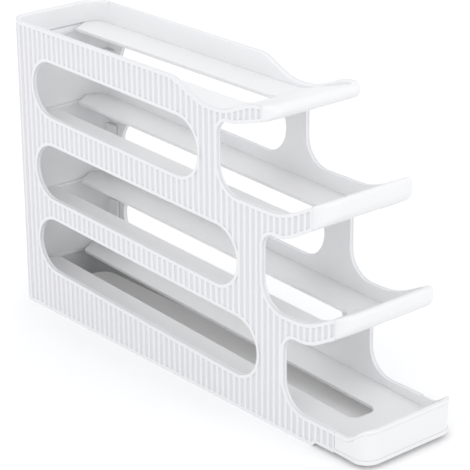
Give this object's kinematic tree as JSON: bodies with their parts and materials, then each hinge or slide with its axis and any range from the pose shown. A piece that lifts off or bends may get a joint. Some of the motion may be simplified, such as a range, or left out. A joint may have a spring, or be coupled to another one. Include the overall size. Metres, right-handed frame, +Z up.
{
  "type": "rolling egg dispenser",
  "caption": "Narrow white refrigerator egg holder: ribbed sides with long holes, a rimmed top deck and sloping slotted lanes that roll eggs down to swept-up front lips.",
  "frame": {"origin": "centre of the overall footprint, on the surface that the dispenser stands on", "axes": "+X towards the front, where the eggs are taken out; +Y across, towards the right side panel; +Z up"},
  "size_m": [0.3415, 0.074, 0.1989],
  "materials": {
    "left_side_panel": "satin moulded white plastic",
    "right_side_panel": "satin moulded white plastic",
    "back_panel": "satin moulded white plastic",
    "deck_tray": "satin moulded white plastic",
    "upper_tray": "satin moulded white plastic",
    "middle_tray": "satin moulded white plastic",
    "lower_tray": "satin moulded white plastic"
  },
  "bodies": {
    "root": {"left_side_panel": "left_side_panel", "right_side_panel": "right_side_panel", "back_panel": "back_panel", "deck_tray": "deck_tray", "upper_tray": "upper_tray", "middle_tray": "middle_tray", "lower_tray": "lower_tray"}
  },
  "joints": []
}
